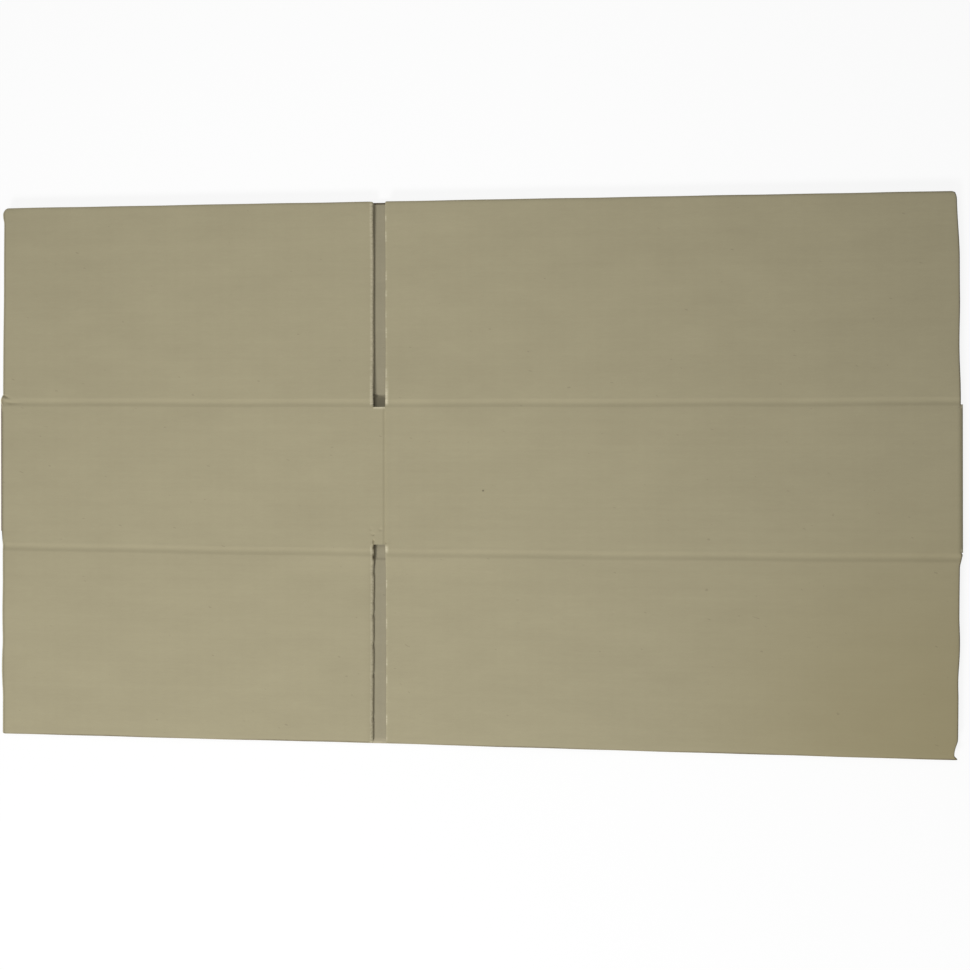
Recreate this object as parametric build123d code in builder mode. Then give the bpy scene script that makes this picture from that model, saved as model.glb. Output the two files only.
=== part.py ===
from build123d import *
import os
from math import atan2, degrees

# A corrugated carton, glued into a tube of four panels and folded flat, in millimetres.
# +Z is up from the floor that it lies on, and +Y runs towards its top flaps. The origin is
# the middle of its underside. The front layer faces up, and the back layer is on the floor.

# Panels, from score to score, and the flaps that stand out from them. The carton is folded a
# little askew, so the back layer's bottom flaps reach past the front ones
long_panel = 306.7
short_panel = 221.7
depth = 82.8
top_flap = 111.3
bottom_flap = 105.8
back_overhang = 1.2
corner_radius = 1.6

# Corrugated board, with a wavy medium glued between two liners
board = 3.0
liner = 0.35
medium = 0.3
flute_pitch = 6.4
flute_crest = 1.45
flute_margin = 2.0

# The space between the two layers, and the folded edges that join them
layer_gap = 1.6
fold_bulge = 2.1
fold_wall = 2.4

# Flap creases have a shallow valley outside and a wider crushed channel inside
valley_width = 5.0
valley_depth = 0.5
channel_width = 9.4
channel_floor = 7.0
channel_depth = 1.8

# The upright score between the two front panels is narrower
score_valley_width = 2.6
score_valley_depth = 0.35
score_channel_width = 6.0
score_channel_floor = 4.0
score_channel_depth = 1.2

# Slots part the flaps, and run a little past the creases into the panels
slot_width = 6.6
slot_past_top = 2.4
slot_past_bottom = 4.4

# The glued lap joint of the back layer
joint_gap = 2.4
tab_width = 34.0
tab_root = 4.0
tab_relief = 7.0
tab_slant = 6.0
tab_clearance = 0.2

half_width = (long_panel + short_panel) / 2
outer_half = half_width + fold_bulge
height = top_flap + depth + bottom_flap + back_overhang
upper_crease = height / 2 - top_flap
lower_crease = upper_crease - depth
thickness = 2 * board + layer_gap
front_inside = thickness - board
front_score = short_panel - half_width
back_joint = long_panel - half_width

# Each flap's left and right sides. The slots at the folded edges are cut from the back flaps
flap_sides = {
    ("front", "short"): (-half_width, front_score - slot_width),
    ("front", "long"): (front_score, half_width),
    ("back", "long"): (slot_width - half_width, back_joint - joint_gap),
    ("back", "short"): (back_joint - joint_gap + slot_width, half_width - slot_width),
}


def valley(at, face, side, width, depth):
    """The round valley that a score leaves in an outer face, on side 1 above or -1 below."""
    radius = (width**2 / 4 + depth**2) / (2 * depth)
    with Locations((at, face + side * (radius - depth))):
        Circle(radius)


def channel(at, face, side, width, floor, depth):
    """The flat channel with sloping walls that a score crushes into an inner face."""
    slope = degrees(atan2(depth, (width - floor) / 2))
    with Locations((at, face + side * depth / 2)):
        Trapezoid(width, depth, slope, rotation=90 - 90 * side)


def crease(at, outer_face, side):
    """All that a flap crease takes out of one layer's section."""
    valley(at, outer_face, side, valley_width, valley_depth)
    inner_face = outer_face - side * board
    channel(at, inner_face, side, channel_width, channel_floor, channel_depth)


def creases(at):
    """The creases of both layers, one above the other."""
    crease(at, thickness, 1)
    crease(at, 0, -1)


def opening(left, right, low, high):
    """A rectangle between a left, a right, a low and a high side."""
    with Locations(((left + right) / 2, (low + high) / 2)):
        Rectangle(right - left, high - low)


def slot_openings():
    """The four slots seen along Y: one in the front, two round the folds, one at the joint."""
    opening(front_score - slot_width, front_score, front_inside, thickness)
    opening(back_joint - joint_gap, back_joint - joint_gap + slot_width, 0, board)
    opening(-outer_half, -half_width, 0, thickness)
    opening(half_width, outer_half, 0, thickness)
    opening(-half_width, slot_width - half_width, 0, board)
    opening(half_width - slot_width, half_width, 0, board)


# The four panels are one closed loop of board, flat, with a half-round fold at each side
with BuildPart() as carton_body:
    with BuildSketch(Plane.XZ.offset(-upper_crease)):
        with Locations((0, thickness / 2)):
            SlotOverall(2 * outer_half, thickness)
            SlotOverall(2 * (outer_half - fold_wall), layer_gap, mode=Mode.SUBTRACT)
    extrude(amount=depth)

    # The upright score, and the gap where the blank's two ends meet
    with BuildSketch(Plane.XZ.offset(-upper_crease)):
        valley(front_score, thickness, 1, score_valley_width, score_valley_depth)
        channel(
            front_score,
            front_inside,
            1,
            width=score_channel_width,
            floor=score_channel_floor,
            depth=score_channel_depth,
        )
        opening(back_joint - joint_gap, back_joint, 0, board)
    extrude(amount=depth, mode=Mode.SUBTRACT)

    # The tab runs on from the short back panel and is glued inside the long one
    with BuildSketch(Plane.XY.offset(board)):
        with BuildLine():
            Polyline(
                (back_joint + tab_root, upper_crease - tab_relief),
                (back_joint - joint_gap, upper_crease - tab_relief),
                (back_joint - tab_width, upper_crease - tab_relief - tab_slant),
                (back_joint - tab_width, lower_crease + tab_relief + tab_slant),
                (back_joint - joint_gap, lower_crease + tab_relief),
                (back_joint + tab_root, lower_crease + tab_relief),
                close=True,
            )
        make_face()
    extrude(amount=layer_gap - tab_clearance)

    # The half of each flap crease that lies in the panels
    with BuildSketch(Plane.YZ):
        creases(upper_crease)
        creases(lower_crease)
    extrude(amount=half_width, both=True, mode=Mode.SUBTRACT)

    # The ends of the slots
    with BuildSketch(Plane.XZ.offset(-upper_crease)):
        slot_openings()
    extrude(amount=slot_past_top, mode=Mode.SUBTRACT)
    with BuildSketch(Plane.XZ.offset(-lower_crease)):
        slot_openings()
    extrude(amount=-slot_past_bottom, mode=Mode.SUBTRACT)

carton_body.part.label = "carton_body"
os.makedirs("parts", exist_ok=True)
export_step(carton_body.part, "parts/carton_body.step")


def flute_ends(left, right, low):
    """The open ends of the flutes, in two rows of trapezoids that point into each other."""
    count = int((right - left - 2 * flute_margin) / flute_pitch)
    cell_height = board - 2 * liner - medium
    base = flute_pitch - flute_crest
    slope = degrees(atan2(cell_height, (base - flute_crest + medium) / 2))
    with Locations(((left + right) / 2, low + board - liner - cell_height / 2)):
        with GridLocations(flute_pitch, 1, count, 1):
            Trapezoid(base, cell_height, slope, rotation=180)
    with Locations(((left + right) / 2, low + liner + cell_height / 2)):
        with GridLocations(flute_pitch, 1, count - 1, 1):
            Trapezoid(base, cell_height, slope)


def make_flap(name, sides, low, crease_at, free_edge):
    """A flap of one layer, from its crease to its free edge, open along its flutes there."""
    left, right = sides
    outwards = 1 if free_edge > crease_at else -1
    with BuildPart() as flap:
        with BuildSketch(Plane.XY.offset(low)):
            opening(left, right, *sorted((crease_at, free_edge)))
        extrude(amount=board)
        free_corners = flap.edges().filter_by(Axis.Z).filter_by_position(
            Axis.Y, free_edge, free_edge
        )
        fillet(free_corners, corner_radius)
        with BuildSketch(Plane.YZ.offset(left)):
            creases(crease_at)
        extrude(amount=right - left, mode=Mode.SUBTRACT)
        with BuildSketch(Plane.XZ.offset(-free_edge)):
            flute_ends(left, right, low)
        extrude(
            amount=free_edge - crease_at - outwards * channel_width / 2,
            mode=Mode.SUBTRACT,
        )
    flap.part.label = name
    export_step(flap.part, f"parts/{name}.step")


for (layer, width), sides in flap_sides.items():
    low = front_inside if layer == "front" else 0
    bottom_edge = -height / 2 + (back_overhang if layer == "front" else 0)
    make_flap(f"{layer}_top_{width}_flap", sides, low, upper_crease, height / 2)
    make_flap(f"{layer}_bottom_{width}_flap", sides, low, lower_crease, bottom_edge)
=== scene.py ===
"""A corrugated carton, glued into a tube of four panels and folded flat, lying on a pale floor.

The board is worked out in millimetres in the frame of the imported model, and made in metres. The
front layer faces up. Its left panel is the short one, and its right panel is the long one.
"""

import math

import bpy
import numpy as np
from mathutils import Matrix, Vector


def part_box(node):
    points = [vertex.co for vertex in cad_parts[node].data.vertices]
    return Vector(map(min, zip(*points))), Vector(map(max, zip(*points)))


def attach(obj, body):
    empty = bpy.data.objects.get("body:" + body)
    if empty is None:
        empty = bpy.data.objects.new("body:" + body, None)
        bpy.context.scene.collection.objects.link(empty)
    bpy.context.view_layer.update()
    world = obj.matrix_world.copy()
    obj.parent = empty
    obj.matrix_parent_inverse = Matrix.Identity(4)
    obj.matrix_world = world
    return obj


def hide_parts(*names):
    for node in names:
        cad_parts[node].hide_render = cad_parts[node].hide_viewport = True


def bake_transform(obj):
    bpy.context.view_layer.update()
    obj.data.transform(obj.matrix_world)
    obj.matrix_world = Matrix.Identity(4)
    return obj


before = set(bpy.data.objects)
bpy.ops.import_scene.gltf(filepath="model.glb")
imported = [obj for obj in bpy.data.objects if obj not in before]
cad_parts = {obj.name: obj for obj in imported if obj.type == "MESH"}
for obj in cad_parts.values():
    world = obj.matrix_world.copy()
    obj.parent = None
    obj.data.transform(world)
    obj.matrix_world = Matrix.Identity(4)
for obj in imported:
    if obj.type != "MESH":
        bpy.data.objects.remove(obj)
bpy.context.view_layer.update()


# The camera looks down on the carton from a little over 0.6 m. It stands a hand's width to the
# right of the middle and turns a few degrees left, so the right end is nearer.
camera_place = (0.0698, 0.0415, 0.6069)
camera_turn = math.radians(5.42)
camera_roll = math.radians(-0.065)
focal_length_px = 1100
photo_width_px = 970
level_row_px = 398.3

lens = bpy.data.cameras.new("camera")
lens.sensor_width = 36
lens.lens = lens.sensor_width * focal_length_px / photo_width_px
lens.shift_y = (level_row_px - photo_width_px / 2) / photo_width_px
lens.clip_start, lens.clip_end = 0.01, 20
camera = bpy.data.objects.new("camera", lens)
camera.location = camera_place
camera.rotation_euler = (0, camera_turn, camera_roll)
bpy.context.scene.collection.objects.link(camera)
bpy.context.scene.camera = camera


# The four panels are one strip of corrugated board, bent round into a tube and pressed flat. The
# strip starts at its raw end in the back layer, goes round the left fold, across the front with
# its upright score, round the right fold, and ends in the tab that is glued inside the back.
def corners(node):
    """The lowest and highest corners of a node at rest, in mm."""
    low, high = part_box(node)
    return np.array(low) * 1000, np.array(high) * 1000


_, body_high = corners("carton_body")
front_long_low, front_long_high = corners("front_top_long_flap")
front_short_low, front_short_high = corners("front_top_short_flap")
back_long_low, back_long_high = corners("back_top_long_flap")
back_short_low, back_short_high = corners("back_top_short_flap")
thickness = body_high[2]
board = front_long_high[2] - front_long_low[2]
half_width = front_long_high[0]
fold_radius = thickness / 2
fold_centre = body_high[0] - fold_radius
front_score = front_long_low[0]
raw_end = back_long_high[0]
joint_gap = 2.4
tab_score = raw_end + joint_gap
creases = {"top": front_long_low[1], "bottom": corners("front_bottom_long_flap")[1][1]}
outwards = {"top": 1, "bottom": -1}
slot_depths = {"top": 2.4, "bottom": 4.4}
channel_depths = {"top": 1.8, "bottom": 0.45}
strip_reach = 5.0
fold_wall = 2.4
tab_width, tab_relief, tab_slant = 34.0, 7.0, 6.0
tab_board, tab_gap = 1.35, 0.04


def lines(low, high, step, near=(), offsets=()):
    """Grid lines every step from low to high, with closer ones at offsets from some places.

    An even line within 0.35 mm of a closer one is left out.
    """
    even = np.linspace(low, high, max(2, round((high - low) / step) + 1))
    close = np.array([at + side * off for at in near for side in (-1, 1) for off in (0, *offsets)])
    close = np.append(close[(close >= low) & (close <= high)], [low, high])
    clear = np.abs(even[:, None] - close).min(axis=1) > 0.35
    return np.unique(np.round(np.append(even[clear], close), 4))


def bell(distance, reach):
    """1 at distance 0, 0 from the reach on: their ratio squared, taken from 1, then squared."""
    return np.clip(1 - (distance / reach) ** 2, 0, None) ** 2


def rise(value, low, high):
    """0 up to low, 1 from high on: between them three squares of the share less two cubes."""
    share = np.clip((value - low) / (high - low), 0, 1)
    return share**2 * (3 - 2 * share)


def channel(distance, depth, floor=3.5, rim=4.8):
    """How deep a score is crushed inside: a flat floor, with walls that rise smoothly to a rim."""
    return depth * (1 - rise(np.abs(distance), floor, rim))


slack_wave = 0.10
near_touch = {"top": 1.2, "bottom": 1.45}
near_touch_at = front_score - 3.0
near_touch_width = 45.0


def sag(x, y):
    """How far the front layer hangs towards the back one.

    Three long waves are added up, and fade out over the last 30 mm before a crease. Beside the
    slots the layers nearly touch, along a bell curve across, but the top flaps rise again
    towards their free edge.
    """
    clear = np.minimum(np.abs(y - creases["top"]), np.abs(y - creases["bottom"]))
    waves = np.sin(x / 61 + 0.7) + np.sin(x / 97 - y / 55 + 2.1) + np.sin(y / 38 + x / 160)
    hanging = slack_wave * (3 + waves) * (1 - np.exp(-((clear / 30) ** 2)))
    above, below = y - creases["top"], creases["bottom"] - y
    touching = near_touch["top"] * rise(above, 0, 30) * (1 - rise(above, 78, 108))
    touching = touching + near_touch["bottom"] * rise(below, 0, 14)
    beside_slot = np.exp(-(((x - near_touch_at) / near_touch_width) ** 2))
    return hanging + np.clip(touching - hanging, 0, None) * beside_slot


def wobble(along, seed):
    """How far a cut edge strays inwards along its length: two small waves."""
    return 0.04 * (2 + np.sin(along / 7.3 + seed) + np.sin(along / 17.9 + 2.3 * seed))


def fold_drop(x):
    """How far the outer face has curved down where it nears a fold: the fold's own circle."""
    past = np.clip(np.abs(x) - fold_centre, 0, fold_radius)
    return fold_radius - np.sqrt(fold_radius**2 - past**2)


dents = [
    {"at": (-262.2, 42.9), "turn": -0.5, "length": 3.6, "width": 1.1, "depth": 1.1},
    {"at": (-259.8, 39.3), "turn": -0.35, "length": 3.4, "width": 1.0, "depth": 0.5},
    {"at": (-49.1, -37.7), "turn": 1.57, "length": 2.2, "width": 0.6, "depth": 0.9},
    {"at": (-50.6, -30.6), "turn": 0.3, "length": 1.1, "width": 0.9, "depth": 0.4},
    {"at": (-49.4, -33.6), "turn": 0.0, "length": 1.5, "width": 0.9, "depth": 0.4},
    {"at": (-45.1, -30.9), "turn": 0.0, "length": 1.6, "width": 1.1, "depth": 0.4},
]
faint_dents = [
    {"at": (30.9, -68.1), "turn": 0.2, "length": 1.6, "width": 1.0, "depth": 0.12},
    {"at": (50.0, -78.1), "turn": -0.1, "length": 1.6, "width": 1.0, "depth": 0.12},
    {"at": (31.2, -80.7), "turn": 0.1, "length": 1.4, "width": 0.9, "depth": 0.1},
    {"at": (82.4, -74.8), "turn": 0.1, "length": 1.5, "width": 0.9, "depth": 0.12},
]
dent_grid = np.linspace(-1.6, 1.6, 9)


def bruise(x, y):
    """The dents of the front face: bells, each along its own direction."""
    total = np.zeros(np.broadcast(x, y).shape)
    for dent in dents + faint_dents:
        right, up = x - dent["at"][0], y - dent["at"][1]
        cosine, sine = math.cos(dent["turn"]), math.sin(dent["turn"])
        along, aside = right * cosine + up * sine, up * cosine - right * sine
        spread_out = np.hypot(along / dent["length"], aside / dent["width"])
        total += dent["depth"] * bell(spread_out, 1)
    return total


def shell(top, under, papers=(0, 1, 2), keep=None, cut=0.0):
    """A closed wall between two grids of points in mm.

    Each cell that keep marks becomes a face on both grids, and a wall closes each border between
    a kept cell and a missing one. The faces turn so that the top's normals point away from the
    under side. Papers are the materials of the top, the under side and the walls, and cut says
    how pale each grid point is, above 0, with tears and painted highlight, or how dark, below 0,
    with painted shade. Gives points, faces, papers and cuts.
    """
    rows, columns = top.shape[:2]
    keep = np.ones((rows - 1, columns - 1), bool) if keep is None else keep
    index = np.arange(rows * columns).reshape(rows, columns)
    beneath = rows * columns
    quads = np.stack([index[:-1, :-1], index[1:, :-1], index[1:, 1:], index[:-1, 1:]], -1)[keep]
    ringed = np.pad(keep, 1)
    before, after = ringed[:-1, 1:-1], ringed[1:, 1:-1]
    left, right = ringed[1:-1, :-1], ringed[1:-1, 1:]
    borders = [
        (index[:, :-1], index[:, 1:], after & ~before),
        (index[:, 1:], index[:, :-1], before & ~after),
        (index[1:], index[:-1], right & ~left),
        (index[:-1], index[1:], left & ~right),
    ]
    walls = [
        np.stack([a[at], b[at], b[at] + beneath, a[at] + beneath], -1) for a, b, at in borders
    ]
    faces = np.concatenate([quads, quads[:, ::-1] + beneath, *walls])
    paper = np.repeat(papers, [len(quads), len(quads), sum(map(len, walls))])
    points = np.concatenate([top.reshape(-1, 3), under.reshape(-1, 3)])
    a, b, c, d = points[quads].transpose(1, 0, 2)
    outward = (a - points[quads[:, 0] + beneath]) * np.cross(c - a, d - b)
    if outward.sum() < 0:
        faces = faces[:, ::-1]
    cuts = np.tile(np.broadcast_to(cut, (rows, columns)).ravel(), 2)
    used, packed = np.unique(faces, return_inverse=True)
    return points[used], packed.reshape(faces.shape), paper, cuts[used]


def make_piece(name, shells, papers):
    """One mesh of closed shells, smooth except where its faces meet at more than 35 degrees."""
    starts = np.cumsum([0] + [len(part[0]) for part in shells])
    points = np.concatenate([part[0] for part in shells])
    faces = np.concatenate([part[1] + start for part, start in zip(shells, starts)])
    mesh = bpy.data.meshes.new(name)
    mesh.from_pydata(points / 1000, [], faces)
    mesh.polygons.foreach_set("material_index", np.concatenate([part[2] for part in shells]))
    attribute = mesh.attributes.new("cut", "FLOAT", "POINT")
    attribute.data.foreach_set("value", np.concatenate([part[3] for part in shells]))
    for paper in papers:
        mesh.materials.append(paper)
    mesh.shade_smooth()
    mesh.set_sharp_from_angle(angle=math.radians(35))
    mesh.update()
    piece = bpy.data.objects.new(name, mesh)
    bpy.context.scene.collection.objects.link(piece)
    return piece


close_offsets = (0.35, 0.7, 1.1, 1.6, 2.2, 3.0, 4.0)
score_places = (front_score, front_short_high[0], -fold_centre, fold_centre)
short_sides = (tab_score, back_short_low[0], back_short_high[0])
back_run = lines(-fold_centre, raw_end, 6, (raw_end, back_long_low[0]), (0.4, 1.0))[::-1]
front_run = lines(-fold_centre, fold_centre, 6, score_places, close_offsets)
short_run = lines(tab_score, fold_centre, 6, short_sides, (0.4, 1.0))[::-1]
flap_side_turn = np.arcsin((half_width - fold_centre) / fold_radius)
half_turn = np.linspace(0, np.pi, 25)[1:-1]
half_turn[np.abs(half_turn - flap_side_turn).argmin()] = flap_side_turn
half_turn[np.abs(half_turn - np.pi + flap_side_turn).argmin()] = np.pi - flap_side_turn
jog = np.linspace(0, 1, 7)[1:]
jog_run = 2.0
tab_run = np.linspace(0, tab_width - jog_run, 12)[1:]

# The strip's path as seen along Y, one run after another. Inwards is on its right
runs = [
    (back_run, np.zeros(back_run.size)),
    (-fold_centre - fold_radius * np.sin(half_turn), fold_radius * (1 - np.cos(half_turn))),
    (front_run, np.full(front_run.size, thickness)),
    (fold_centre + fold_radius * np.sin(half_turn), fold_radius * (1 + np.cos(half_turn))),
    (short_run, np.zeros(short_run.size)),
    (tab_score - jog_run * jog, (board + tab_gap) * rise(jog, 0, 1)),
    (tab_score - jog_run - tab_run, np.full(tab_run.size, board + tab_gap)),
]
run_x, run_z = [np.concatenate(part) for part in zip(*runs)]
stretch = np.repeat(np.arange(len(runs)), [len(part) for part, _ in runs])[:, None]
on_back_long, on_front, on_tab = stretch == 0, stretch == 2, stretch >= 5
steps = np.stack([np.diff(run_x), np.diff(run_z)], -1)
steps /= np.linalg.norm(steps, axis=1)[:, None]
directions = np.concatenate([steps[:1], (steps[:-1] + steps[1:]) / 2, steps[-1:]])
inwards = np.stack([directions[:, 1], -directions[:, 0]], -1)

top_end = creases["top"] - slot_depths["top"]
bottom_end = creases["bottom"] + slot_depths["bottom"]
top_seam = creases["top"] - strip_reach
bottom_seam = creases["bottom"] + strip_reach
end_lines = [bottom_end + 0.3, bottom_seam, top_seam, top_seam + 0.3, top_seam + 0.9]
end_lines += [top_seam + 1.5, top_end - 0.5, top_end - 0.2]
panel_rows = lines(bottom_end, top_end, 5, end_lines)
seam_offsets = np.arange(0.6, 10, 0.6)
panel_rows = np.unique(
    np.concatenate([panel_rows, top_seam - seam_offsets, bottom_seam + seam_offsets])
)

# The tab's rows are drawn together between its two slanting sides
X, Y = np.meshgrid(run_x, panel_rows, indexing="ij")
Z = np.repeat(run_z[:, None], panel_rows.size, axis=1)
tab_slope = np.clip((tab_score - joint_gap - X) / (tab_width - joint_gap), 0, 1) * tab_slant
tab_top = creases["top"] - tab_relief - tab_slope
tab_bottom = creases["bottom"] + tab_relief + tab_slope
row_share = (Y - bottom_end) / (top_end - bottom_end)
Y = np.where(on_tab, tab_bottom + row_share * (tab_top - tab_bottom), Y)

# At the folds the ends of the tube lie this much higher than at the slots
fold_ends = {
    ("left", "top"): 2.4,
    ("left", "bottom"): 5.4,
    ("right", "top"): 1.2,
    ("right", "bottom"): -1.0,
}
fold_end_reach = 9.0
on_fold = rise(np.abs(X), half_width, half_width + 0.6) * ~on_tab
for (side, end), shift in fold_ends.items():
    here = on_fold * (X < 0 if side == "left" else X > 0)
    inside_end = top_end - Y if end == "top" else Y - bottom_end
    Y = Y + shift * here * np.clip(1 - inside_end / fold_end_reach, 0, 1) ** 2

# The wall grows thinner towards the folds. The upright score is a narrow valley outside, with a
# rough shallow band on its right, and a channel inside
thinning_run = 5.0
thinnest_wall = 0.5
fold_share = np.clip((np.abs(X) - fold_centre) / thinning_run + 1, 0, 1)
wall = np.where(on_tab, tab_board, board - (board - fold_wall) * fold_share)
from_score = X - front_score
roughened = 0.75 + 0.25 * np.sin(Y / 3.1) * np.sin(Y / 7.7 + 1)
outer_dip = 0.5 * bell(from_score + 0.2, 1.3) + 0.10 * roughened * bell(from_score - 3.0, 2.6)
outer_dip = np.where(on_front, np.maximum(outer_dip + bruise(X, Y), 0), 0)
to_fold = np.clip(fold_centre - np.abs(X), 0, None)
hang = np.where(on_front, sag(X, Y) * (1 - np.exp(-((to_fold / 14) ** 2))), 0)
inner_dip = np.where(on_front, channel(from_score, 1.2, floor=2.0, rim=3.0), 0)
for end, depth in channel_depths.items():
    crushed = np.where(on_tab, 0, channel(Y - creases[end], depth))
    inner_dip = np.maximum(inner_dip, crushed)
outer_depth = outer_dip + hang
inner_depth = np.maximum(wall - inner_dip, outer_dip + thinnest_wall) + hang
inward_x, inward_z = inwards[:, :1], inwards[:, 1:]
outer = np.stack([X + inward_x * outer_depth, Y, Z + inward_z * outer_depth], -1)
inner = np.stack([X + inward_x * inner_depth, Y, Z + inward_z * inner_depth], -1)

# Past the seams the tube goes on only between the flaps, up to the closed ends of the slots
middle_x = (run_x[1:] + run_x[:-1]) / 2
middle_y = (panel_rows[1:] + panel_rows[:-1]) / 2
flapped = np.zeros(middle_x.size, bool)
for on_layer, flap_low, flap_high in (
    (run_z[:-1] > fold_radius, front_short_low[0], front_short_high[0]),
    (run_z[:-1] > fold_radius, front_long_low[0], front_long_high[0]),
    (run_z[:-1] < fold_radius, back_long_low[0], back_long_high[0]),
    (run_z[:-1] < fold_radius, back_short_low[0], back_short_high[0]),
):
    flapped |= on_layer & (middle_x > flap_low) & (middle_x < flap_high)
flapped &= ~on_tab[:-1, 0]
inside_seams = (middle_y > bottom_seam) & (middle_y < top_seam)
keep = ~flapped[:, None] | inside_seams[None, :]

# Where no flap goes on, the tube's ends are frayed pale, but for the front's lower ones and the
# raw end's. The outside of the left fold has painted shade
bared = np.append(~flapped, True)[:, None] & ~on_tab & ~on_back_long & ~((Y < 0) & on_front)
from_end = np.minimum(top_end - Y, Y - bottom_end)
painted_shade_share = rise(np.abs(X) - fold_centre, 0.1 * fold_radius, 0.5 * fold_radius) * (X < 0)
panel_cut = bared * np.exp(-((from_end / 0.9) ** 2)) - 0.55 * painted_shade_share


class Socket:
    """An output among a shader's nodes. Arithmetic on it adds Math nodes."""

    def __init__(self, shader, link):
        self.shader = shader
        self.link = link

    def math(self, operation, first, second=0.0):
        return self.shader.node("ShaderNodeMath", {"operation": operation}, {0: first, 1: second})

    def __add__(self, other):
        return self.math("ADD", self, other)

    def __sub__(self, other):
        return self.math("SUBTRACT", self, other)

    def __rsub__(self, other):
        return self.math("SUBTRACT", other, self)

    def __mul__(self, other):
        return self.math("MULTIPLY", self, other)

    __radd__ = __add__
    __rmul__ = __mul__

    def size(self):
        return self.math("ABSOLUTE", self)

    def sine(self):
        return self.math("SINE", self)

    def at_least(self, other):
        return self.math("MAXIMUM", self, other)

    def above(self, low, high):
        """0 up to low, 1 from high on, and smooth between them."""
        settings = {"interpolation_type": "SMOOTHSTEP"}
        return self.shader.node("ShaderNodeMapRange", settings, {0: self, 1: low, 2: high})


class Shader:
    """The nodes of a material or a world, which the node method adds and links."""

    def __init__(self, owner):
        self.owner = owner
        owner.use_nodes = True
        self.tree = owner.node_tree
        self.tree.nodes.clear()

    def node(self, kind, settings, sockets, output=0):
        made = self.tree.nodes.new(kind)
        for name, value in settings.items():
            setattr(made, name, value)
        for name, value in sockets.items():
            if isinstance(value, Socket):
                self.tree.links.new(value.link, made.inputs[name])
            else:
                made.inputs[name].default_value = value
        return Socket(self, made.outputs[output]) if made.outputs else None

    def looked_at(self):
        """1 for what a camera sees, straight or in a mirror or glass, and 0 for what lights up."""
        straight, mirrored, passed = [
            self.node("ShaderNodeLightPath", {}, {}, output=output) for output in (0, 3, 6)
        ]
        return straight.at_least(mirrored).at_least(passed)

    def grain(self, place, along, across, turn=0.0):
        """Coordinates in which a fibre this long and this wide, in mm, is one unit each way."""
        scale = (along / 1000, across / 1000, across / 1000)
        sockets = {"Vector": place, "Rotation": (0, 0, turn), "Scale": scale}
        return self.node("ShaderNodeMapping", {"vector_type": "TEXTURE"}, sockets)

    def noise(self, place, detail=2.0, roughness=0.5):
        """Cloudy values round a half."""
        sockets = {"Vector": place, "Scale": 1.0, "Detail": detail, "Roughness": roughness}
        return self.node("ShaderNodeTexNoise", {}, sockets)

    def mix(self, share, first, second):
        """The first colour going over into the second."""
        sockets = {0: share, 6: first, 7: second}
        return self.node("ShaderNodeMix", {"data_type": "RGBA"}, sockets, output=2)


def shade(red, green, blue):
    """A colour as a screen shows it, from 0 to 255, turned into the light that it reflects."""
    share = np.array([red, green, blue]) / 255
    return (*np.where(share > 0.04045, ((share + 0.055) / 1.055) ** 2.4, share / 12.92), 1.0)


flute_pitch = 6.4

# Two marks on the front face, placed in metres, as a material sees the piece
knot_place = (0.0118, -0.0090, thickness / 1000)
stain_place = (0.270, -0.160, thickness / 1000)
bark = shade(74, 66, 52)
# The colour of painted shade, laid on dark rims, shade lines and holes
painted_shade = shade(92, 83, 66)
tan = shade(149, 138, 102)


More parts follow.
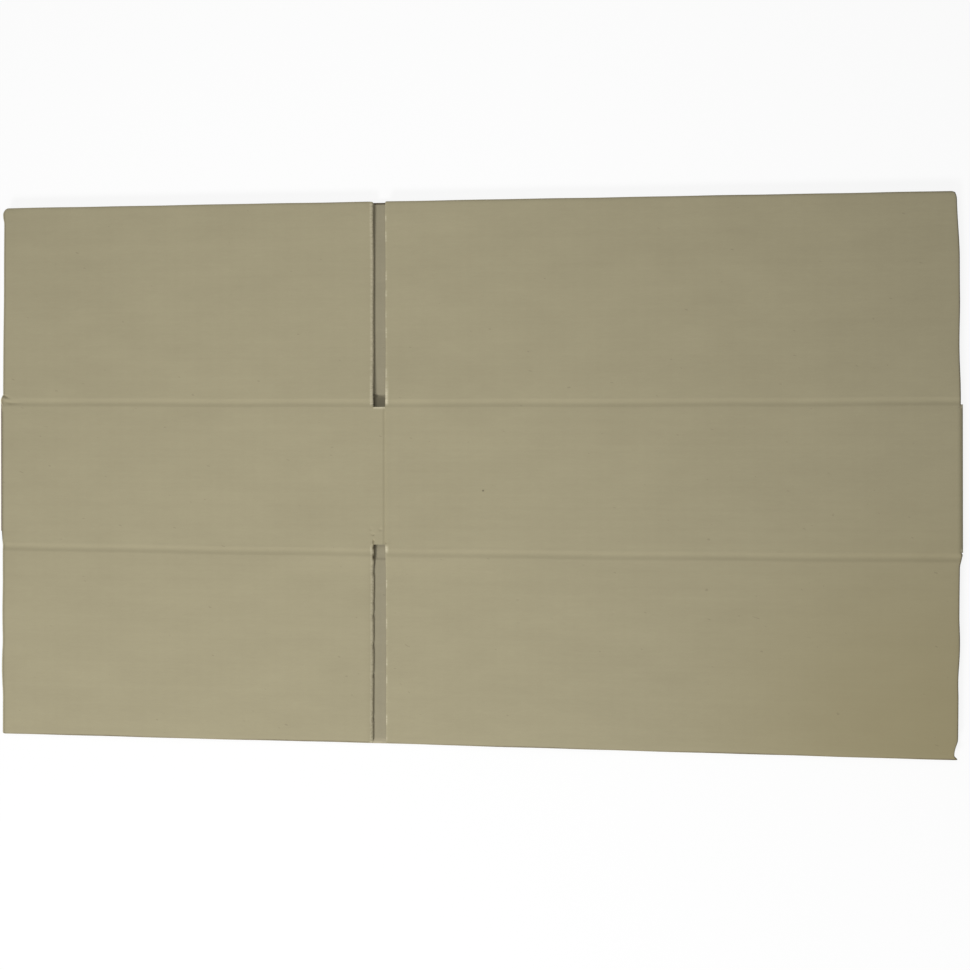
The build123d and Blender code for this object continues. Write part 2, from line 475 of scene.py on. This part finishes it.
def brown_paper(name, pale, dark, tear_and_highlight, stripes):
    """A paper whose tone goes between two browns.

    The tone adds up clouds, felt marks, fuzz, roller bands, stripes over the flutes and fibres.
    The stain, the specks, pale tears with painted highlight, and painted shade are laid over it in
    turn.
    """
    paper = Shader(bpy.data.materials.new(name))
    place = paper.node("ShaderNodeTexCoord", {}, {}, output=3)
    across = paper.node("ShaderNodeSeparateXYZ", {}, {0: place})

    clouds = paper.noise(paper.grain(place, 30, 14), detail=3.0)
    felt = paper.noise(paper.grain(place, 6.0, 1.0), detail=3.0, roughness=0.6)
    fuzz = paper.noise(paper.grain(place, 1.0, 0.4, turn=0.5), detail=2.0)
    roller = paper.noise(paper.grain(place, 900, 3.4), detail=2.0)
    stripe = (across * (2000 * math.pi / flute_pitch)).sine()

    strands = paper.noise(paper.grain(place, 8.0, 1.2, turn=0.45), detail=1.0)
    fibre = 1 - ((strands - 0.5).size() * 30).above(0.2, 1.0)
    shives = paper.noise(paper.grain(place, 3.4, 1.4, turn=-0.3), detail=0.0)
    shive = shives.above(0.85, 0.88)
    from_knot, from_stain = [
        paper.node("ShaderNodeVectorMath", {"operation": "DISTANCE"}, {0: place, 1: at}, output=1)
        for at in (knot_place, stain_place)
    ]
    knot = 1 - from_knot.above(0.0002, 0.0009)
    stain = 1 - from_stain.above(0.01, 0.19)
    cells = paper.grain(place, 11.0, 11.0)
    to_pimple = paper.node("ShaderNodeTexVoronoi", {}, {"Vector": cells, "Scale": 1.0})
    pimple = 1 - to_pimple.above(0.03, 0.07)

    tone = 0.5 + (
        0.6 * (clouds - 0.5)
        + 0.4 * (felt - 0.5)
        + 0.3 * (fuzz - 0.5)
        + 0.25 * (roller - 0.5)
        + stripes * stripe
        + 0.05 * fibre
    )
    cut = paper.node("ShaderNodeAttribute", {"attribute_name": "cut"}, {}, output=2)
    # Above 0 the cut attribute lays pale tears with painted highlight, and below 0 painted shade
    patchy = felt.above(0.35, 0.6)
    tear_and_highlight_share = cut * (0.4 + 0.6 * patchy)
    painted_shade_share = (0 - cut) * (0.6 + 0.4 * patchy)
    colour = paper.mix(tone, dark, pale)
    colour = paper.mix(0.6 * stain, colour, tan)
    speck = (0.2 * shive).at_least(0.85 * knot)
    colour = paper.mix(speck, colour, bark)
    colour = paper.mix(tear_and_highlight_share, colour, tear_and_highlight)
    colour = paper.mix(painted_shade_share, colour, painted_shade)

    relief = 0.5 * felt + 0.35 * fuzz + 0.1 * fibre + 0.3 * pimple
    bump = paper.node(
        "ShaderNodeBump", {}, {"Strength": 0.3, "Distance": 0.00006, "Height": relief}
    )
    surface = paper.node(
        "ShaderNodeBsdfPrincipled",
        {},
        {
            "Base Color": colour,
            "Roughness": 0.82 + 0.2 * (felt - 0.5),
            "Specular IOR Level": 0.25,
            "Normal": bump,
        },
    )
    paper.node("ShaderNodeOutputMaterial", {}, {0: surface})
    return paper.owner


outer_liner = brown_paper(
    "kraft_outside",
    pale=shade(167, 159, 130),
    dark=shade(152, 144, 117),
    tear_and_highlight=shade(200, 192, 164),
    stripes=0.015,
)
inner_liner = brown_paper(
    "kraft_inside",
    pale=shade(157, 149.5, 126),
    dark=shade(139, 132.5, 111),
    tear_and_highlight=shade(184, 174, 148),
    stripes=0.08,
)
fluting = brown_paper(
    "fluting",
    pale=shade(168, 157, 130),
    dark=shade(144, 134, 110),
    tear_and_highlight=shade(200, 190, 164),
    stripes=0.0,
)
papers = (outer_liner, inner_liner, fluting)

panels = make_piece("panel_tube", [shell(outer, inner, keep=keep, cut=panel_cut)], papers)
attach(panels, "panels")
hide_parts("carton_body")


# The eight flaps are the same board, slotted apart and cut across their flutes at the free edge.
# There the two liners show with the wavy fluting between them, and the outside corners are worn.
liner = 0.35
fluting_wall = 0.28
flute_shift, flute_lean = 7.98, 0.0128
slot_centre = (front_short_high[0] + front_score) / 2
edge_offsets = np.array([0, 0.12, 0.3, 0.55, 0.9, 1.4, 2.1, 3.0, 4.2])

# Corners at the free edge are rounded by this much across and along, less so inside
plain_corner = (1.6, 1.6)
slot_corner = (0.7, 0.7)
inner_corner = 1.2
worn_corners = {
    ("front_top_short", "left"): (2.6, 3.6),
    ("front_top_long", "right"): (2.6, 4.0),
    ("front_bottom_long", "right"): (0.8, 0.8),
    ("front_bottom_short", "left"): (0.8, 0.8),
}

# A side lies this far inside its straight cut at the crease and at the free edge
side_slants = {
    ("front_top_short", "left"): (0.3, 0.95),
    ("front_top_short", "right"): (0.15, 0.2),
    ("front_bottom_short", "left"): (0.05, -0.35),
    ("front_bottom_short", "right"): (0.1, 0.9),
    ("front_top_long", "right"): (-0.3, 0.2),
    ("front_bottom_long", "right"): (0.2, 1.3),
}

# Bulges of a side, each as its place along it, its reach and how far out it stands
side_bulges = {
    ("front_top_short", "left"): [(40.2, 4.8, 1.3), (146.5, 5.0, 0.7)],
    ("front_bottom_short", "left"): [(-80.0, 20.0, 0.3), (-112.0, 18.0, 0.65)],
    ("front_top_long", "right"): [(70.0, 24.0, -0.5), (150.5, 36.0, -1.3)],
    ("front_bottom_long", "right"): [
        (-39.2, 9.0, 1.5),
        (-89.0, 15.0, 0.4),
        (-108.0, 9.0, -0.2),
        (-146.3, 8.0, -1.8),
        (-149.3, 1.9, 1.5),
    ],
}
ragged_sides = {("front_bottom_short", "right"): 0.35}

# A free edge reaches this much further at its left end and at its right end
end_slants = {"front_bottom_short": (0.45, 0.0)}

# How deep the knife rolled a side down, and how far in that reaches
rolled_sides = {
    "front_top_short": {"left": (0.25, 0.35), "right": (1.1, 0.6)},
    "front_bottom_short": {"left": (0.25, 0.35), "right": (1.5, 0.9)},
    "front_top_long": {"right": (0.4, 0.4)},
    "front_bottom_long": {"right": (0.4, 0.4)},
}

# How pale each side is, with tears and painted highlight, and how dark its line of painted
# shade is, on short and on long flaps
side_tones = {
    ("short", "left"): {"tear_and_highlight": 0.9, "reach": 0.5, "dashes": 0, "dark": 0.5, "dark_at": 0.95},
    ("short", "right"): {"tear_and_highlight": 1.2, "reach": 1.3, "dashes": 0, "dark": 0.5, "dark_at": 0.5},
    ("long", "left"): {"tear_and_highlight": 0.1, "reach": 0.7, "dashes": 0.7, "dark": 0, "dark_at": 0},
    ("long", "right"): {"tear_and_highlight": 0, "reach": 0.5, "dashes": 0, "dark": 0.85, "dark_at": 0.3},
}
lower_fray_at, lower_fray_reach = -41.0, 4.5


def flap_corners(name):
    """The lowest and highest corners of a flap, and the place of its free edge along Y."""
    low, high = corners(f"{name}_flap")
    return low, high, high[1] if "_top_" in name else low[1]


def rounding(from_edge, size):
    """How far a side draws in near a free edge: a quarter of an ellipse of this size."""
    across, along = size
    return across * (1 - np.sqrt(1 - np.clip(1 - from_edge / along, 0, 1) ** 2))


def loose(y, end):
    """0 in the panel, rising evenly to 1 over the first 2 mm of the slot beside a flap."""
    past = outwards[end] * (y - creases[end]) + slot_depths[end]
    return np.clip(past / 2, 0, 1)


def spread(u, width, left, right):
    """Moves places in from both sides, by the square of how near they are within 12 mm."""
    near_left, near_right = np.clip(1 - u / 12, 0, 1), np.clip(1 - (width - u) / 12, 0, 1)
    return u + left * near_left**2 - right * near_right**2


def side_inset(name, side, y, to_crease, seed):
    """How far a flap's side lies inside its straight cut.

    It wobbles, slants evenly from the free edge to the crease, and bulges out in bells. A ragged
    side has bites wherever two short waves rise together.
    """
    at_crease, at_end = side_slants.get((name, side), (0, 0))
    inset = wobble(y, seed) + at_end + (at_crease - at_end) * to_crease
    for at, reach, outward in side_bulges.get((name, side), []):
        inset = inset - outward * bell(y - at, reach)
    bites = rise(np.sin(y / 1.3) + np.sin(y / 3.1 + 1) + y / 160, 0.2, 1.0)
    return inset + ragged_sides.get((name, side), 0) * bites


def board_place(name, u, v, corner_sizes):
    """Where a flap's point lies that is u from its left side and v from its free edge.

    Its cut edges stray a little, the free one within 10 mm, and its free corners are rounded.
    """
    end = name.split("_")[1]
    low, high, free_edge = flap_corners(name)
    width, length = high[0] - low[0], abs(free_edge - creases[end])
    seed = low[0] / 50 + low[1] / 90 + low[2]
    at_left, at_right = end_slants.get(name, (0, 0))
    longer = at_left + (at_right - at_left) * u / width
    drawn_in = (wobble(low[0] + u, seed) - longer) * np.clip(1 - v / 10, 0, 1)
    y = free_edge - outwards[end] * (v + drawn_in)
    left, right = [
        side_inset(name, side, y, v / length, seed + 1 + index) * loose(y, end)
        + rounding(v, corner_sizes[index])
        for index, side in enumerate(("left", "right"))
    ]
    return low[0] + spread(u, width, left, right), y


def crush(u, v, width):
    """How far the knife pressed each liner in: it fades by exponentials from the cut edges."""
    sideways = 0.26 * np.exp(-np.minimum(u, width - u) / 0.8)
    return np.maximum(sideways, 0.4 * np.exp(-v / 0.7))


def roll(name, u, width):
    """How far the knife rolled the outer liner down: an exponential from each side."""
    sides = rolled_sides.get(name, {})
    left_depth, left_reach = sides.get("left", (0, 1))
    right_depth, right_reach = sides.get("right", (0, 1))
    at_right = right_depth * np.exp(-(width - u) / right_reach)
    return left_depth * np.exp(-u / left_reach) + at_right


def board_marks(name, x, y, u, v, width):
    """How far the board hangs, how far the knife pressed it, and how deep its face is dented.

    The front layer sags, and round a fold the board keeps to its circle. The knife's marks end
    with the slot.
    """
    layer, end, _ = name.split("_")
    parted = loose(y, end)
    hang = fold_drop(x) * (1 - parted)
    dented = roll(name, u, width) * parted
    if layer == "front":
        hang, dented = hang + sag(x, y), dented + bruise(x, y)
    return hang, crush(u, v, width) * parted, dented


def flap_depths(name, x, y, u, v, width):
    """How deep a flap's outer and inner faces lie: the board's marks, and its thickness."""
    hang, pressed, dented = board_marks(name, x, y, u, v, width)
    return hang + np.maximum(pressed + dented, 0), hang + board - pressed


def slot_end_tear_and_highlight(y, end, from_slot):
    """How pale a slot's closed end is within 2 mm of its side: ragged paper and painted highlight.

    Along the upper slot it fades by an exponential, and along the lower one it is a bell.
    """
    past = outwards[end] * (y - creases[end]) - strip_reach
    along = np.exp(-np.clip(past, 0, None) / 5)
    if end == "bottom":
        along = bell(y - lower_fray_at, lower_fray_reach)
    return along * (1 - rise(from_slot, 0.8, 2.0))


def rim_tone(name, u, y, width):
    """Above 0 where a side is pale with tears and painted highlight, and below 0 for painted
    shade.

    A pale side fades from half its reach to one and a half, and two waves along it make dashes.
    """
    layer, end, size = name.split("_")
    if layer == "back":
        return 0.35 * np.exp(-np.minimum(u, width - u) / 0.5)
    dashed = rise(np.sin(y / 1.7) + 0.6 * np.sin(y / 4.3 + 2), 0.2, 0.9)
    total = 0
    for side, inside in (("left", u), ("right", width - u)):
        tone = side_tones[size, side]
        tear_and_highlight = tone["tear_and_highlight"] + tone["dashes"] * dashed
        total = total + tear_and_highlight * (1 - rise(inside, 0.5 * tone["reach"], 1.5 * tone["reach"]))
        # A line of painted shade just inside the side
        total = total - tone["dark"] * bell(inside - tone["dark_at"], 0.7)
    return total + (1 - total) * slot_end_tear_and_highlight(y, end, width - u if size == "short" else u)


def edge_tone(name, x, v, rim):
    """The same for a free edge, in bells along it: painted shade in patches on the front layer.

    On the back layer it is a painted shadow line in the upper slot, and paler in the lower one.
    """
    layer, end, _ = name.split("_")
    in_slot = bell(x - slot_centre, 12)
    # Painted shade along the front layer's free edges, in patches
    if layer == "front":
        painted_shade_share = 0.3 + 0.2 * x / half_width if end == "top" else 0.85
        patchy = 0.7 + 0.3 * np.sin(x / 19)
        return -painted_shade_share * patchy * bell(v - 0.2, 0.9) * (rim <= 0.3)
    # On the back top flaps, a painted shadow line along the edge, darkest in the slot
    if end == "top":
        return -0.6 * bell(v - 0.2, 0.9) - 2.0 * in_slot * bell(v - 0.4, 0.8)
    return 0.6 * in_slot * bell(v - 1.0, 2.8)


def flap_lines(length, near, step):
    """Grid lines from 0 to a length, closer at the ends that near names."""
    ends = {"start": edge_offsets, "stop": length - edge_offsets}
    close = [ends[name] for name in near] + [np.array([0, length])]
    even = np.linspace(5.5, length - 5.5, round(length / step))
    return np.unique(np.round(np.concatenate([*close, even]), 4))


def laid(x, y, depth, layer):
    """Points this deep below the outer face of the front or the back layer."""
    z = thickness - depth if layer == "front" else depth + 0 * x
    return np.stack([x, y, z], -1)


def flap_shells(name):
    """The two liners of a flap and the fluting between them, as three closed shells.

    The fluting is a cosine across the flap that fills the space between the liners, and its two
    faces stand half a wall off that line, square to its slope.
    """
    layer, end, _ = name.split("_")
    low, high, free_edge = flap_corners(name)
    width, length = high[0] - low[0], abs(free_edge - creases[end]) - strip_reach
    at_fold = {"left": low[0] < -half_width / 2, "right": high[0] > half_width / 2}
    sizes = [
        worn_corners.get((name, side), plain_corner if outside else slot_corner)
        for side, outside in at_fold.items()
    ]

    u_lines = flap_lines(width, ("start", "stop"), 7)
    v_lines = flap_lines(length, ("start",), 1.2 if layer == "front" else 6)
    for dent in faint_dents if name == "front_bottom_long" else []:
        across, up = dent["at"] - low[:2]
        u_lines = np.union1d(u_lines, across + dent_grid)
        v_lines = np.union1d(v_lines, up + dent_grid)
    u, v = np.meshgrid(u_lines, v_lines, indexing="ij")
    x, y = board_place(name, u, v, sizes)
    cut = rim_tone(name, u, y, width)
    cut = cut + edge_tone(name, x, v, cut)
    outer_depth, inner_depth = flap_depths(name, x, y, u, v, width)
    closing = roll(name, u, width) * np.exp(-((np.minimum(u, width - u) / 0.2) ** 2))
    # The outer liner's walls take its paper, so the sides' pale tears and painted highlight run
    # down them
    outer_shell = shell(
        laid(x, y, outer_depth, layer),
        laid(x, y, np.minimum(outer_depth + liner + closing, inner_depth - liner), layer),
        papers=(0, 2, 0),
        cut=cut,
    )
    x, y = board_place(name, u, v, [np.minimum(size, inner_corner) for size in sizes])
    outer_depth, inner_depth = flap_depths(name, x, y, u, v, width)
    inner_shell = shell(
        laid(x, y, inner_depth, layer),
        laid(x, y, inner_depth - liner, layer),
        papers=(1, 2, 1),
        cut=cut,
    )

    waves = np.arange(0.15, width - 0.15, flute_pitch / 10)
    v_waves = np.unique(np.concatenate([[0.15, 0.6, 1.3, 2.4], np.linspace(4, length, 14)]))
    u, v = np.meshgrid(waves, v_waves, indexing="ij")
    x, y = board_place(name, u, v, sizes)
    outer_depth, inner_depth = flap_depths(name, x, y, u, v, width)
    swing = (inner_depth - outer_depth - 2 * liner - fluting_wall) / 2
    turn = 2 * np.pi / flute_pitch
    phase = turn * (x - front_score + flute_shift - flute_lean * y)
    phase = phase + 0.3 * np.sin(y / 1.9 + low[0])
    slope = -swing * turn * np.sin(phase)
    steepness = np.sqrt(1 + slope**2)
    centre = (outer_depth + inner_depth) / 2 + swing * np.cos(phase)
    aside, along = fluting_wall / 2 * slope / steepness, fluting_wall / 2 / steepness
    # The fluting's cut ends are pale: tears, and painted highlight that lifts the shaded walls
    wave_shell = shell(
        laid(x + aside, y, centre - along, layer),
        laid(x - aside, y, centre + along, layer),
        papers=(2, 2, 2),
        cut=0.8 * np.exp(-np.minimum(np.minimum(u, width - u), v)),
    )
    return [outer_shell, inner_shell, wave_shell]


flap_names = [
    f"{layer}_{end}_{width}"
    for layer in ("front", "back")
    for end in ("top", "bottom")
    for width in ("short", "long")
]
for name in flap_names:
    flap = make_piece(f"{name}_board", flap_shells(name), papers)
    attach(flap, name)
    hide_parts(f"{name}_flap")


# The flap creases are lines of board that a blunt wheel has crushed, so the flaps can fold. The
# wheel leaves a shallow valley outside and a wide channel inside, and the flutes there are flat.
valley_reach, valley_depth = 2.6, 0.38
crease_bows = {"top": (0.4, -0.3, 0.4), "bottom": (0.9, -0.15, 0.7)}
# Two spots of painted shade, for holes in the short flap's cut side, at these heights
painted_hole_shade = {"front_bottom_short": (-46.3, -40.6)}
crease_rows = np.array([0, 0.35, 0.7, 1.05, 1.4, 1.75, 2.1, 2.5, 3.0, 3.5, 4.1, 4.7, strip_reach])
crease_rows = np.unique(np.concatenate([-crease_rows, crease_rows]))


def crease_stray(x, end):
    """How far up a crease runs off its straight line: a parabola and a small wave along it.

    The parabola passes through the bow's three heights at the left, the middle and the right.
    """
    at_left, at_middle, at_right = crease_bows[end]
    share = x / half_width
    tilt, bow = (at_right - at_left) / 2, (at_right + at_left) / 2 - at_middle
    return at_middle + tilt * share + bow * share**2 + 0.12 * np.sin(x / 17)


def crease_shell(name):
    """The crushed strip between a panel and a flap, solid.

    The valley outside is a bell along the crease, and the channel inside has a flat floor.
    """
    layer, end, _ = name.split("_")
    low, high, free_edge = flap_corners(name)
    width = high[0] - low[0]
    u_lines = flap_lines(width, ("start", "stop"), 4)
    u, from_crease = np.meshgrid(u_lines, crease_rows, indexing="ij")
    v = abs(free_edge - creases[end]) - from_crease
    x, y = board_place(name, u, v, (plain_corner, plain_corner))
    hang, pressed, dented = board_marks(name, x, y, u, v, width)
    valley = valley_depth * bell(y - creases[end] - crease_stray(x, end), valley_reach)
    outer_depth = hang + np.maximum(np.maximum(valley, pressed) + dented, 0)
    inner_depth = hang + board - np.maximum(channel(from_crease, channel_depths[end]), pressed)
    cut = rim_tone(name, u, y, width)
    # Painted shade where the holes open in the cut side
    for at in painted_hole_shade.get(name, ()):
        cut = cut - 2.2 * bell(y - at, 2.6) * bell(width - u, 1.2)
    return shell(
        laid(x, y, outer_depth, layer),
        laid(x, y, inner_depth, layer),
        papers=(0, 1, 2),
        cut=cut * loose(y, end),
    )


for name in flap_names:
    end = name.split("_")[1]
    crease = make_piece(f"{name}_crease", [crease_shell(name)], papers)
    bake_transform(crease)


# The floor is a wide pale sheet that the carton lies on. To the eye it glows nearly white, and
# the rest of its light takes the carton's soft shadow. It can be looked through from below.
floor_half = 4.0
floor_glow = 0.88
floor_mesh = bpy.data.meshes.new("floor")
floor_corners = [(-1, -1), (1, -1), (1, 1), (-1, 1)]
floor_points = [(x * floor_half, y * floor_half, 0) for x, y in floor_corners]
floor_mesh.from_pydata(floor_points, [], [range(4)])
floor = bpy.data.objects.new("floor", floor_mesh)
bpy.context.scene.collection.objects.link(floor)

pale_floor = Shader(bpy.data.materials.new("pale_floor"))
looked_at = pale_floor.looked_at()
matt = pale_floor.node("ShaderNodeBsdfDiffuse", {}, {"Color": (0.93, 0.93, 0.93, 1)})
white = pale_floor.node("ShaderNodeEmission", {}, {"Color": (1, 1, 1, 1), "Strength": 1.0})
lit = pale_floor.node("ShaderNodeMixShader", {}, {0: floor_glow * looked_at, 1: matt, 2: white})
backside = pale_floor.node("ShaderNodeNewGeometry", {}, {}, output=6)
clear = pale_floor.node("ShaderNodeBsdfTransparent", {}, {})
surface = pale_floor.node("ShaderNodeMixShader", {}, {0: backside, 1: lit, 2: clear})
pale_floor.node("ShaderNodeOutputMaterial", {}, {0: surface})
floor_mesh.materials.append(pale_floor.owner)


# Three round soft lamps aim at the middle of the carton: a strong one in front at the left and a
# weak one at the right, whose light slants over the creases, and one behind and above. The room
# lights the rest.
def soft_lamp(name, place, width, watts):
    """A disc that shines at the origin and doesn't show in a picture."""
    lamp = bpy.data.lights.new(name, "AREA")
    lamp.shape = "DISK"
    lamp.size = width
    lamp.energy = watts
    holder = bpy.data.objects.new(name, lamp)
    holder.location = place
    x, y, z = place
    holder.rotation_euler = (math.acos(z / math.hypot(x, y, z)), 0, math.atan2(y, x) + math.pi / 2)
    holder.visible_camera = False
    bpy.context.scene.collection.objects.link(holder)


soft_lamp("left_lamp", place=(-0.37, -0.849, 0.898), width=0.35, watts=11.19)
soft_lamp("right_lamp", place=(0.247, -0.891, 0.892), width=0.35, watts=1.63)
soft_lamp("top_lamp", place=(-0.076, 0.17, 0.582), width=0.35, watts=1.26)

room = Shader(bpy.data.worlds.new("room"))
ambient = room.node("ShaderNodeBackground", {}, {"Color": (1, 1, 1, 1), "Strength": 0.158})
backdrop = room.node("ShaderNodeBackground", {}, {"Color": (1, 1, 1, 1), "Strength": 1.0})
choice = room.node("ShaderNodeMixShader", {}, {0: room.looked_at(), 1: ambient, 2: backdrop})
room.node("ShaderNodeOutputWorld", {}, {0: choice})
bpy.context.scene.world = room.owner
bpy.context.scene.view_settings.view_transform = "Standard"
